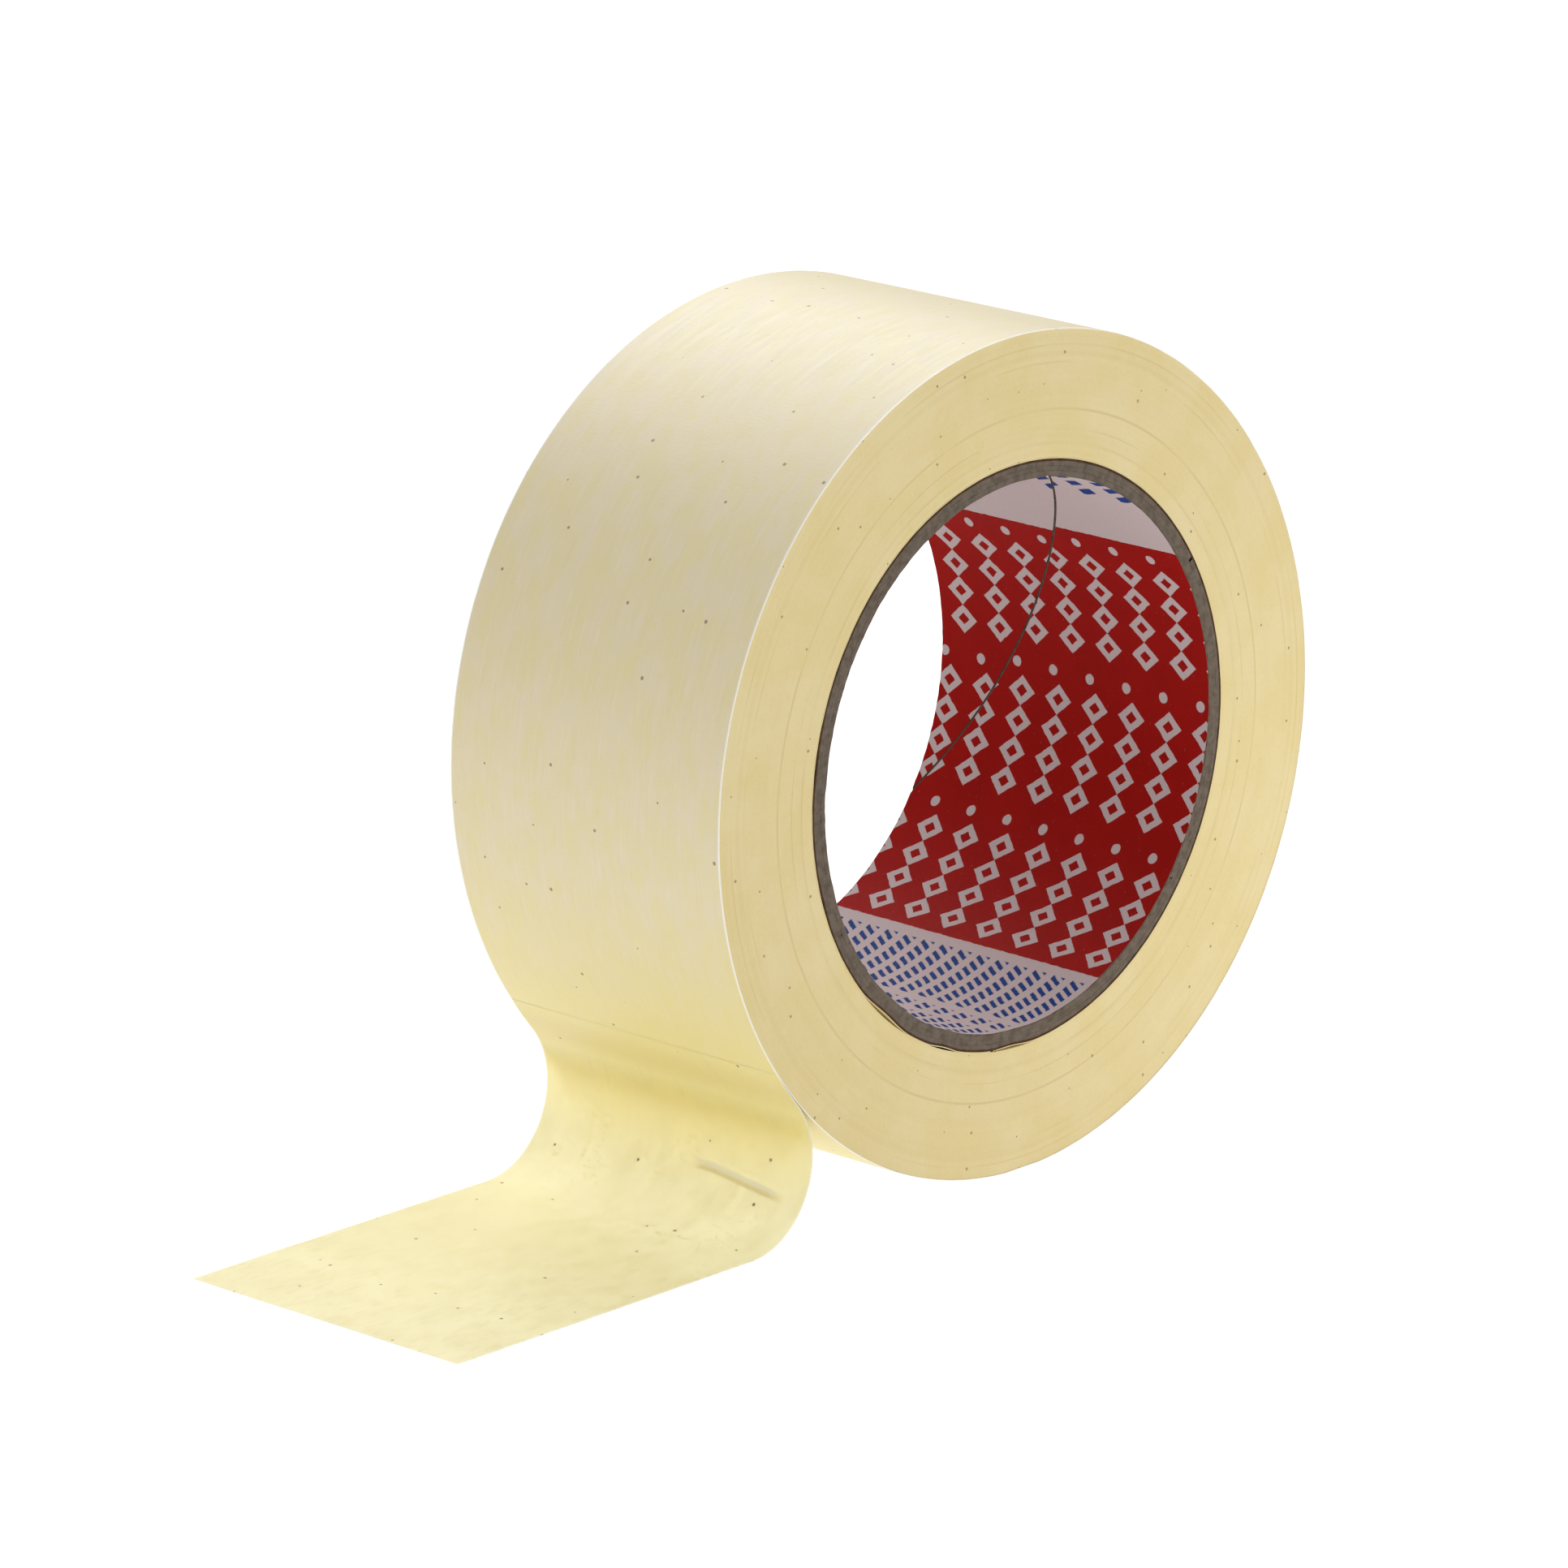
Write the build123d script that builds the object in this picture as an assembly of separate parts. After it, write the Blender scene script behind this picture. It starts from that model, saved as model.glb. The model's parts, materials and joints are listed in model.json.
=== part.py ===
from build123d import *
import math
import os

# A roll of masking tape: a spiral-wound paperboard core, the tape wound on it, and its loose end,
# which peels off the roll, folds back on itself and lies flat on the table, sticky side down.
#
# Millimetres and degrees. The origin is the centre of the core's bore, +Y runs along the bore,
# and +Z is up. Polar angles lie in the XZ plane, from +X towards +Z.

# ---- Driving dimensions ----

TAPE_WIDTH = 50.0
ROLL_RADIUS = 58.4
PAPER_THICKNESS = 0.085
ADHESIVE_THICKNESS = 0.04
STANDING_FLAT_WIDTH = 7.0  # where the soft winding flattens under its own weight

CORE_BORE_RADIUS = 38.2  # the bore of a 3 inch core
LINER_THICKNESS = 0.15
BOARD_THICKNESS = 0.65
WRAP_THICKNESS = 0.27
GLUE_LINE = 0.02  # between one ply of the core and the next, and under the first turn

SEAM_PITCH = 150.0  # length of core in which a ply's butt seam goes once round
LINER_SEAM_WIDTH = 0.4
BOARD_SEAM_WIDTH = 0.6

FIRST_TURN_START_ANGLE = 262.0
FIRST_TURN_START_GAP = 0.6

FOLD_RADIUS = 12.1  # of the tape's sticky side where the loose end folds back
LAP_LENGTH = 6.0  # of the loose end that still lies on the roll above the peel line
LAP_CLEARANCE = 0.02
TAIL_LENGTH = 54.3  # of the loose end that lies flat
CURL_LINE_DISTANCE = 27.0  # from the start of the flat length to the line where its end curls up
HINGE_GAP = 0.15  # between two lengths of the loose end, at the line where they bend

# ---- What follows from them ----

TAPE_THICKNESS = PAPER_THICKNESS + ADHESIVE_THICKNESS
HALF_WIDTH = TAPE_WIDTH / 2
FLOOR = -math.sqrt(ROLL_RADIUS**2 - (STANDING_FLAT_WIDTH / 2) ** 2)

LAP_RADIUS = ROLL_RADIUS + LAP_CLEARANCE
FOLD_CENTRE_Z = FLOOR + FOLD_RADIUS
FOLD_CENTRE_X = -math.sqrt((LAP_RADIUS + FOLD_RADIUS) ** 2 - FOLD_CENTRE_Z**2)
FOLD_CENTRE = (FOLD_CENTRE_X, FOLD_CENTRE_Z)
PEEL_ANGLE = math.degrees(math.atan2(FOLD_CENTRE_Z, FOLD_CENTRE_X)) % 360
LAP_ANGLE = math.degrees(LAP_LENGTH / LAP_RADIUS)
FOLD_ANGLE = PEEL_ANGLE - 180 + 90  # from the peel line round to the table

# The plies of the core, from the bore outwards: name, thickness, width of the butt seam, and
# the polar angle at which that seam meets the front end of the core.
PLIES = [
    ("core_liner", LINER_THICKNESS, LINER_SEAM_WIDTH, 87.0),
    ("core_board_inner", BOARD_THICKNESS, BOARD_SEAM_WIDTH, 322.0),
    ("core_board_middle", BOARD_THICKNESS, BOARD_SEAM_WIDTH, 206.0),
    ("core_board_outer", BOARD_THICKNESS, BOARD_SEAM_WIDTH, 31.0),
    ("core_wrap", WRAP_THICKNESS, BOARD_SEAM_WIDTH, 150.0),
]


def across(section):
    """Give an XZ outline the full width of the tape."""
    return extrude(Plane.XZ * section, HALF_WIDTH, both=True)


def ring(inner_radius, outer_radius):
    """A closed band round the bore."""
    return across(Circle(outer_radius) - Circle(inner_radius))


def band(centre, radius_a, radius_b, start_angle, sweep):
    """The outline of part of a turn, between two radii about one centre."""
    side_a = CenterArc(centre, radius_a, start_angle, sweep)
    side_b = CenterArc(centre, radius_b, start_angle, sweep)
    return make_face([side_a, side_b, Line(side_a @ 0, side_b @ 0), Line(side_a @ 1, side_b @ 1)])


def seam(inner_radius, outer_radius, width, front_angle):
    """The cutter for a ply's butt seam: a slot that follows a helix from end to end of the core."""
    overrun = outer_radius - inner_radius + width
    helix = Helix(SEAM_PITCH, TAPE_WIDTH + 2 * overrun, (inner_radius + outer_radius) / 2)
    slot = Plane(helix @ 0, x_dir=(1, 0, 0), z_dir=helix % 0) * Rectangle(2 * overrun, width)
    cutter = Rot(-90, 0, 0) * sweep(slot, path=helix, is_frenet=True)
    start_angle = front_angle + 360 * overrun / SEAM_PITCH
    return Rot(0, -start_angle, 0) * Pos(0, -HALF_WIDTH - overrun, 0) * cutter


def ply(inner_radius, thickness, seam_width, front_angle):
    """One ply of the core: a strip of board wound in a helix until its edges meet."""
    outer_radius = inner_radius + thickness
    return ring(inner_radius, outer_radius) - seam(inner_radius, outer_radius, seam_width, front_angle)


def core():
    """The plies, each glued on the one inside it, and the radius that they reach."""
    pieces = {}
    radius = CORE_BORE_RADIUS
    for name, thickness, seam_width, front_angle in PLIES:
        pieces[name] = ply(radius, thickness, seam_width, front_angle)
        radius += thickness + GLUE_LINE
    return pieces, radius


def winding(inner_radius):
    """The tape on the core: its first turn, the turns over that, and its last whole turn."""
    first_turn_top = inner_radius + TAPE_THICKNESS
    last_turn_base = ROLL_RADIUS - TAPE_THICKNESS
    start_gap_angle = math.degrees(FIRST_TURN_START_GAP / inner_radius)
    first_turn = band((0, 0), inner_radius, first_turn_top, FIRST_TURN_START_ANGLE, 360 - start_gap_angle)
    under_floor = across(Pos(0, FLOOR - ROLL_RADIUS / 2) * Rectangle(2 * ROLL_RADIUS, ROLL_RADIUS))
    return {
        "first_turn": across(first_turn),
        "wound_tape": ring(first_turn_top, last_turn_base) - under_floor,
        "last_turn": ring(last_turn_base, ROLL_RADIUS) - under_floor,
    }


def fold_layer(depth, thickness):
    """A layer of the loose end's lap and fold, at a depth from the tape's sticky side."""
    lap = band((0, 0), LAP_RADIUS + depth, LAP_RADIUS + depth + thickness, PEEL_ANGLE - LAP_ANGLE, LAP_ANGLE)
    outer_radius = FOLD_RADIUS - depth
    fold = band(FOLD_CENTRE, outer_radius, outer_radius - thickness, PEEL_ANGLE - 180, -FOLD_ANGLE)
    return across(lap) + across(fold)


def flat_layer(depth, thickness, start, end):
    """A layer of the loose end's flat length, between two distances from the fold."""
    middle = (FOLD_CENTRE_X - (start + end) / 2, FLOOR + depth + thickness / 2)
    return across(Pos(*middle) * Rectangle(end - start, thickness))


def tail():
    """The loose end in three lengths that bend at their ends, each a paper and its adhesive."""
    pieces = {}
    layers = [("adhesive", 0, ADHESIVE_THICKNESS), ("paper", ADHESIVE_THICKNESS, PAPER_THICKNESS)]
    curl_gap_start = CURL_LINE_DISTANCE - HINGE_GAP / 2
    curl_gap_end = CURL_LINE_DISTANCE + HINGE_GAP / 2
    for name, depth, thickness in layers:
        pieces[f"tail_fold_{name}"] = fold_layer(depth, thickness)
        pieces[f"tail_flat_{name}"] = flat_layer(depth, thickness, HINGE_GAP, curl_gap_start)
        pieces[f"tail_tip_{name}"] = flat_layer(depth, thickness, curl_gap_end, TAIL_LENGTH)
    return pieces


core_pieces, core_radius = core()
model = {**core_pieces, **winding(core_radius), **tail()}

os.makedirs("parts", exist_ok=True)
for node, solid in model.items():
    solid.label = node
    export_step(solid, f"parts/{node}.step")

turn_count = (ROLL_RADIUS - core_radius) / TAPE_THICKNESS
print(f"core outside radius {core_radius - GLUE_LINE:.3f}, about {turn_count:.0f} turns of tape")
print(f"peel line at {PEEL_ANGLE:.2f} degrees, fold centre ({FOLD_CENTRE_X:.3f}, {FOLD_CENTRE_Z:.3f})")
print(f"lift hinge at x {FOLD_CENTRE_X - HINGE_GAP / 2:.3f}, z {FLOOR + TAPE_THICKNESS / 2:.4f}")
print(f"curl hinge at x {FOLD_CENTRE_X - CURL_LINE_DISTANCE:.3f}, z {FLOOR + TAPE_THICKNESS / 2:.4f}")
print(f"cut end at x {FOLD_CENTRE_X - TAIL_LENGTH:.3f}")
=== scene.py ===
"""A roll of masking tape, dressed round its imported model.

Everything is in metres in the model's own frame: the origin is the centre of the core's bore, +Y
runs along the bore away from the front face, and +Z is up. Angles round the bore are in degrees,
from +X towards +Z. Pattern coordinates on paper are in millimetres: along the tape, then across it.
"""

import json
import logging
import math
from dataclasses import dataclass
from enum import Enum
from typing import Callable, Union

import bpy
import numpy as np
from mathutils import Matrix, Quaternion, Vector, noise


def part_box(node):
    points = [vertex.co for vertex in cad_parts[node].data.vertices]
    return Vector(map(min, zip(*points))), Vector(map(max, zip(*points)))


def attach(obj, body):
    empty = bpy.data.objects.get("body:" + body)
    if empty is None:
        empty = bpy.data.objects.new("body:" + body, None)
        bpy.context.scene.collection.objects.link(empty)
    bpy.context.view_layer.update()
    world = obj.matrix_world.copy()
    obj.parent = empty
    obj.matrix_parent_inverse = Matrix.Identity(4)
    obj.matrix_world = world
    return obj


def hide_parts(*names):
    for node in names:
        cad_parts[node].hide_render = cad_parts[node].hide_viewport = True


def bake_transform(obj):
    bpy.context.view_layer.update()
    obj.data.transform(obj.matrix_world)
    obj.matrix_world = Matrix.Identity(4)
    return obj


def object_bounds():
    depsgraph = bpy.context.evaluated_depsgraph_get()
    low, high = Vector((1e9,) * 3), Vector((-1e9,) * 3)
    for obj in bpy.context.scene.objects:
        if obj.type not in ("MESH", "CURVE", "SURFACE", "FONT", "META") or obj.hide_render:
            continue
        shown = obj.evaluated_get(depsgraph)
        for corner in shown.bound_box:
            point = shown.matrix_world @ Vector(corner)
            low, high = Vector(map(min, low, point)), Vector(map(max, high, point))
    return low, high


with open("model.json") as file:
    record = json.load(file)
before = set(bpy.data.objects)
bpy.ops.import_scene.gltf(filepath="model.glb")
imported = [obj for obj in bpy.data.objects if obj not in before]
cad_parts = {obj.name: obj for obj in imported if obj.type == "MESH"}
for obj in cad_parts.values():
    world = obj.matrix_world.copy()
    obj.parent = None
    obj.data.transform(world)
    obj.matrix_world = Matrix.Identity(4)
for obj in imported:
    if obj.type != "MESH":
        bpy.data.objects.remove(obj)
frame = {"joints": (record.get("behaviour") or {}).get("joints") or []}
CAD_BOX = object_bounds()

log = logging.getLogger("masking_tape_roll")

MM = 0.001
HALF_TURN = 180.0
FULL_TURN = 360.0
PATTERN = "pattern"

EDGE = 0.01 * MM  # how near an edge a vertex has to be to be on it
WELD = 0.001 * MM  # how near two vertices have to be to be one
DRIFT = 0.4 * MM  # how far the winding's middle turns lie off centre
DRIFT_ANGLE = 320.0

Colour = tuple[float, float, float, float]
Span = tuple[float, float]
Steps = tuple[int, int]
Tint = Union[Colour, bpy.types.NodeSocket]
Number = Union["Value", float]
Placer = Callable[[np.ndarray], np.ndarray]


class Body(Enum):
    """The bodies that the pieces ride on."""

    ROLL = "roll"
    FOLD = "tail_fold"
    FLAT = "tail_flat"
    TIP = "tail_tip"


class Slot(Enum):
    """The material slots that the pieces take their finish from."""

    PRINTED_LINER = "printed_liner"
    CORE_BOARD = "core_board"
    KRAFT_WRAP = "kraft_wrap"
    CREPE_PAPER = "crepe_paper"
    WOUND_EDGE = "wound_edge"
    ADHESIVE = "adhesive"


# ---- Colours and shader maths ----


def paint(red: int, green: int, blue: int) -> Colour:
    """Give the linear colour of a paint swatch.

    Args:
        red: the swatch's red, 0 to 255.
        green: its green, 0 to 255.
        blue: its blue, 0 to 255.

    Returns:
        The colour as linear red, green, blue and a full alpha.
    """
    shares = [channel / 255 for channel in (red, green, blue)]
    linear = [s / 12.92 if s <= 0.04045 else ((s + 0.055) / 1.055) ** 2.4 for s in shares]
    return (linear[0], linear[1], linear[2], 1.0)


@dataclass(frozen=True)
class Grain:
    """Smooth noise: its lumps in one unit, its finer layers, their strength, and its stretch."""

    scale: float
    detail: float = 2.0
    rough: float = 0.5
    stretch: tuple[float, float, float] = (1.0, 1.0, 1.0)


@dataclass(frozen=True)
class Coat:
    """A colour that covers a share of what is under it as a value goes from one limit to the other."""

    colour: Colour
    start: float
    full: float
    share: float = 1.0


@dataclass(frozen=True)
class Specks:
    """Small round specks: the cell that may hold one, the largest radius, and how many cells do."""

    colour: Colour
    spacing: float
    radius: float
    share: float
    strength: float
    smallest: float = 0.4


@dataclass(frozen=True)
class Value:
    """A number that varies over a surface. Arithmetic on it adds Math nodes to its graph."""

    graph: "Graph"
    socket: bpy.types.NodeSocket

    def __add__(self, other: Number) -> "Value":
        """Add a number."""
        return self.graph.math("ADD", self, other)

    def __sub__(self, other: Number) -> "Value":
        """Take a number away."""
        return self.graph.math("SUBTRACT", self, other)

    def __rsub__(self, other: Number) -> "Value":
        """Take this value away from a number."""
        return self.graph.math("SUBTRACT", other, self)

    def __mul__(self, other: Number) -> "Value":
        """Multiply by a number."""
        return self.graph.math("MULTIPLY", self, other)

    def __truediv__(self, other: Number) -> "Value":
        """Divide by a number."""
        return self.graph.math("DIVIDE", self, other)

    def __mod__(self, other: Number) -> "Value":
        """Give what is left over after whole steps of a number, never negative."""
        return self.graph.math("FLOORED_MODULO", self, other)

    def __abs__(self) -> "Value":
        """Give the size without its sign."""
        return self.graph.math("ABSOLUTE", self)

    def __pow__(self, other: Number) -> "Value":
        """Raise to a power."""
        return self.graph.math("POWER", self, other)

    __radd__ = __add__
    __rmul__ = __mul__

    def whole(self) -> "Value":
        """Give the whole number at or below this value."""
        return self.graph.math("FLOOR", self)

    def ramp(self, low: float, high: float) -> "Value":
        """Rise smoothly from 0 to 1.

        Args:
            low: the value that gives 0.
            high: the value that gives 1. It may be the smaller one, and then the result falls.

        Returns:
            The result, held between 0 and 1.
        """
        ends = {"From Min": low, "From Max": high}
        if high < low:
            ends = {"From Min": high, "From Max": low}
        inputs = {"Value": self, "To Min": 0.0, "To Max": 1.0, **ends}
        made = self.graph.node("ShaderNodeMapRange", {"interpolation_type": "SMOOTHSTEP"}, inputs)
        risen = Value(self.graph, made.outputs["Result"])
        return risen if low <= high else 1 - risen

    def between(self, low: float, high: float, soft: float) -> "Value":
        """Mark the values between two limits.

        Args:
            low: the lower limit.
            high: the upper limit.
            soft: how wide each limit's edge is.

        Returns:
            1 between the limits and 0 outside them.
        """
        half = soft / 2
        return self.ramp(low - half, low + half) * self.ramp(high + half, high - half)


class Graph:
    """The node graph of one material."""

    def __init__(self, name: str) -> None:
        """Start an empty graph for a new material of that name."""
        self.material = bpy.data.materials.new(name)
        self.material.use_nodes = True
        self.tree = self.material.node_tree
        self.tree.nodes.clear()

    def node(self, kind: str, settings: dict | None = None, inputs: dict | None = None) -> bpy.types.Node:
        """Add one node.

        Args:
            kind: the node's type.
            settings: its own settings, which are set first.
            inputs: what its sockets take, by name or number: a constant, a socket or a Value.

        Returns:
            The node.
        """
        made = self.tree.nodes.new(kind)
        for name, setting in (settings or {}).items():
            setattr(made, name, setting)
        for key, given in (inputs or {}).items():
            if isinstance(given, Value):
                given = given.socket
            if isinstance(given, bpy.types.NodeSocket):
                self.tree.links.new(given, made.inputs[key])
            else:
                made.inputs[key].default_value = given
        return made

    def math(self, operation: str, *values: Number) -> Value:
        """Add a Math node and give its result."""
        made = self.node("ShaderNodeMath", {"operation": operation}, dict(enumerate(values)))
        return Value(self, made.outputs[0])

    def mix(self, share: Number, base: Tint, over: Tint) -> bpy.types.NodeSocket:
        """Blend two colours.

        Args:
            share: how much of the second colour shows, 0 to 1.
            base: the first colour, a constant or a socket.
            over: the second colour, a constant or a socket.

        Returns:
            The blended colour's socket.
        """
        made = self.node("ShaderNodeMix", {"data_type": "RGBA"}, {0: share, 6: base, 7: over})
        return made.outputs[2]

    def coat(self, tint: Tint, value: Value, coat: Coat) -> bpy.types.NodeSocket:
        """Lay a coat of colour over a tint, where a value says."""
        return self.mix(value.ramp(coat.start, coat.full) * coat.share, tint, coat.colour)

    def pattern(self) -> bpy.types.NodeSocket:
        """Give the pattern coordinates of the piece, in millimetres."""
        return self.node("ShaderNodeUVMap", {"uv_map": PATTERN}).outputs[0]

    def body(self) -> bpy.types.NodeSocket:
        """Give the place in the roll's own frame, in millimetres."""
        place = self.node("ShaderNodeTexCoord").outputs["Object"]
        return self.stretch(place, (1 / MM, 1 / MM, 1 / MM))

    def stretch(self, place: bpy.types.NodeSocket, by: tuple[float, float, float]) -> bpy.types.NodeSocket:
        """Multiply a place by a number along each axis."""
        return self.node("ShaderNodeVectorMath", {"operation": "MULTIPLY"}, {0: place, 1: by}).outputs[0]

    def axes(self, place: bpy.types.NodeSocket) -> tuple[Value, Value, Value]:
        """Split a place into its three coordinates."""
        made = self.node("ShaderNodeSeparateXYZ", {}, {0: place})
        return Value(self, made.outputs[0]), Value(self, made.outputs[1]), Value(self, made.outputs[2])

    def join(self, x: Number, y: Number, z: Number = 0.0) -> bpy.types.NodeSocket:
        """Make a place of three coordinates."""
        return self.node("ShaderNodeCombineXYZ", {}, {0: x, 1: y, 2: z}).outputs[0]

    def noise(self, place: bpy.types.NodeSocket, grain: Grain) -> Value:
        """Give smooth noise.

        Args:
            place: where it is read.
            grain: how fine it is, and its stretch.

        Returns:
            The noise, about 0.5 and between 0 and 1.
        """
        place = self.stretch(place, grain.stretch)
        inputs = {"Vector": place, "Scale": grain.scale, "Detail": grain.detail, "Roughness": grain.rough}
        return Value(self, self.node("ShaderNodeTexNoise", {}, inputs).outputs[0])

    def specks(self, place: bpy.types.NodeSocket, specks: Specks) -> Value:
        """Scatter specks on a flat place.

        Args:
            place: where they are read, of which the first two coordinates count.
            specks: how large and how many they are.

        Returns:
            The specks' strength in a speck and 0 outside.
        """
        inputs = {"Vector": place, "Scale": 1 / specks.spacing}
        cells = self.node("ShaderNodeTexVoronoi", {"voronoi_dimensions": "2D"}, inputs)
        chance = self.node("ShaderNodeSeparateColor", {}, {0: cells.outputs["Color"]})
        held = Value(self, chance.outputs[0]).ramp(1 - specks.share, 1 - specks.share * 0.9)
        size = Value(self, chance.outputs[1]) * (1 - specks.smallest) + specks.smallest
        reach = Value(self, cells.outputs["Distance"]) / size
        rim = specks.radius / specks.spacing
        return held * reach.ramp(rim, rim * 0.4) * specks.strength

    def bump(self, height: Number, strength: float, distance: float) -> bpy.types.NodeSocket:
        """Turn a height into a surface normal.

        Args:
            height: the height, 0 to 1.
            strength: how much of it shows.
            distance: how tall 1 is, in metres.

        Returns:
            The normal's socket.
        """
        inputs = {"Height": height, "Strength": strength, "Distance": distance}
        return self.node("ShaderNodeBump", {}, inputs).outputs[0]

    def surface(
        self, inputs: dict, glow: Value | None = None, glow_colour: Colour | None = None
    ) -> bpy.types.Material:
        """Finish the material with a surface shader.

        Args:
            inputs: what the Principled shader's sockets take.
            glow: how much of the surface lets light through and scatters it, 0 to 1.
            glow_colour: the colour that such light takes.

        Returns:
            The material.
        """
        shader = self.node("ShaderNodeBsdfPrincipled", {}, inputs).outputs[0]
        if glow is not None:
            through = self.node("ShaderNodeBsdfTranslucent", {}, {"Color": glow_colour}).outputs[0]
            shader = self.node("ShaderNodeMixShader", {}, {0: glow, 1: shader, 2: through}).outputs[0]
        self.node("ShaderNodeOutputMaterial", {}, {"Surface": shader})
        return self.material


# ---- Finishes ----


@dataclass(frozen=True)
class CrepePaper:
    """Creped masking paper: cream, mottled, streaked along its length and wrinkled across it.

    Its places are millimetres along the tape: positive on the roll, and negative off it, where light
    comes through the paper.
    """

    cream: Colour = paint(232, 217, 180)
    # painted glow: yellow that stands in for light shining through the paper
    painted_glow_yellow: Colour = paint(240, 226, 150)
    # painted glow: bright tint for light shining through the fold
    painted_fold_glow: Colour = paint(255, 241, 166)
    # painted shadow: darker yellow for the shade where the tape lifts off the roll
    lap_shadow_tint: Colour = paint(218, 199, 132)
    shade: Colour = paint(214, 196, 150)
    cut: Colour = paint(250, 247, 238)
    straw: Coat = Coat(paint(231, 216, 162), 0.36, 0.64)
    pale_streaks: Coat = Coat(paint(240, 232, 212), 0.52, 0.75, 0.4)
    dark_streaks: Coat = Coat(shade, 0.48, 0.25, 0.22)
    dark_wrinkles: Coat = Coat(shade, 0.45, 0.2, 0.2)
    flecks: Specks = Specks(paint(122, 98, 60), 8.0, 0.38, 0.42, 0.85)
    patches: Grain = Grain(0.2, 5.0, 0.7, (0.7, 1.3, 1.0))
    streaks: Grain = Grain(1.0, 4.0, 0.7, (0.11, 1.5, 1.0))
    wrinkles: Grain = Grain(1.0, 3.0, 0.6, (3.2, 0.6, 1.0))
    ripples: Grain = Grain(1.0, 3.0, 0.6, (0.28, 1.5, 1.0))
    half_width: float = 25.0
    cut_edge: float = 0.28
    cut_share: float = 0.9
    # painted glow: a yellow tint for light shining through the paper, next to the peel line and low on the
    # roll just before it, fading towards the tip
    painted_glow_near_peel: Span = (38.0, -2.0)
    painted_glow_low_on_roll: Span = (325.0, 355.0)
    painted_glow_share: float = 0.75
    fade: Span = (-34.0, -80.0)
    fade_share: float = 0.8
    fold_glow_from: Span = (-1.5, -5.0)  # painted glow: a brighter tint across the fold, for light shining through it
    fold_glow_until: Span = (-18.0, -9.0)
    lap_shadow_from: Span = (-3.0, 0.5)  # painted shadow: a darker band where two layers lie on the roll next to the peel line, for the shade where the tape lifts off it
    lap_shadow_until: Span = (6.0, 1.5)
    lap_shadow_share: float = 0.35
    crease_place: float = -14.0
    crease_turn: float = -7.5
    crease_slope: float = 0.11
    crease_front: Span = (-22.0, -18.5)
    crease_back: Span = (-3.5, -6.5)
    # painted highlight and painted shadow along the crease: a pale line on its ridge and a darker line below
    # it
    crease_highlight: Span = (-0.2, 0.4)
    crease_shadow: Span = (-0.9, -0.45)
    crease_edge: float = 0.4
    roughness: Span = (0.44, 0.56)
    glow: float = 0.83
    glow_from: Span = (-2.0, -8.5)
    glow_loss: float = 0.3  # how much less light comes through where the paper is dense
    glow_colour: Colour = (1.0, 0.985, 0.825, 1.0)
    dense_patches: Span = (0.4, 0.7)
    dense_ripples: Span = (0.48, 0.72)
    dense_length: Span = (-58.0, -34.0)
    dense_share: float = 0.3

    def painted_glow(self, along: Value, fading: Value) -> Value:
        """Give the share of painted glow: a yellow tint for light shining through the paper, most of all
        next to the peel line.
        """
        near_peel = along.ramp(*self.painted_glow_near_peel) * (1 - fading * self.fade_share)
        return near_peel + along.ramp(*self.painted_glow_low_on_roll) * 0.9

    def from_crease(self, graph: Graph, along: Value, across: Value) -> Value:
        """Measure from the crease, which turns off on its way across.

        Args:
            graph: the material's graph.
            along: the distance along the tape.
            across: the distance across it.

        Returns:
            The distance along the tape from the crease.
        """
        below_turn = graph.math("MAXIMUM", self.crease_turn - across, 0.0)
        return along - self.crease_place + below_turn * self.crease_slope

    def material(self) -> bpy.types.Material:
        """Make the material."""
        graph = Graph("crepe_paper")
        place = graph.pattern()
        along, across, _ = graph.axes(place)
        patches, streaks = graph.noise(place, self.patches), graph.noise(place, self.streaks)
        wrinkles, ripples = graph.noise(place, self.wrinkles), graph.noise(place, self.ripples)
        fading = along.ramp(*self.fade)
        # painted glow across the fold, for light shining through it
        fold_glow = along.ramp(*self.fold_glow_from) * along.ramp(*self.fold_glow_until)
        # painted shadow next to the peel line, where the tape lifts off the roll
        lap_shadow = along.ramp(*self.lap_shadow_from) * along.ramp(*self.lap_shadow_until)
        from_crease = self.from_crease(graph, along, across)
        creased = across.ramp(*self.crease_front) * across.ramp(*self.crease_back)
        # painted highlight along the crease's ridge
        crease_highlight = from_crease.between(*self.crease_highlight, self.crease_edge) * creased
        shadow = from_crease.between(*self.crease_shadow, self.crease_edge) * creased
        edge = self.half_width - self.cut_edge
        cut = abs(across).ramp(edge, edge + self.cut_edge / 2)
        flecks = graph.specks(place, self.flecks)

        tint = graph.coat(self.cream, patches, self.straw)
        # painted glow: yellow tint for light shining through the paper
        tint = graph.mix(self.painted_glow(along, fading) * self.painted_glow_share, tint, self.painted_glow_yellow)
        # painted glow: the fold made brighter for light shining through it
        tint = graph.mix(fold_glow, tint, self.painted_fold_glow)
        # painted shadow: the lap darkened for the gap where the tape lifts
        tint = graph.mix(lap_shadow * self.lap_shadow_share, tint, self.lap_shadow_tint)
        tint = graph.coat(tint, streaks, self.pale_streaks)
        tint = graph.coat(tint, streaks, self.dark_streaks)
        tint = graph.coat(tint, wrinkles, self.dark_wrinkles)
        # painted highlight on the crease in the cut edges' colour, then painted shadow below it
        tint = graph.mix(crease_highlight * self.cut_share, tint, self.cut)
        tint = graph.mix(shadow * 0.4, tint, self.shade)
        tint = graph.mix(cut * self.cut_share, tint, self.cut)
        tint = graph.mix(flecks, tint, self.flecks.colour)

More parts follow.
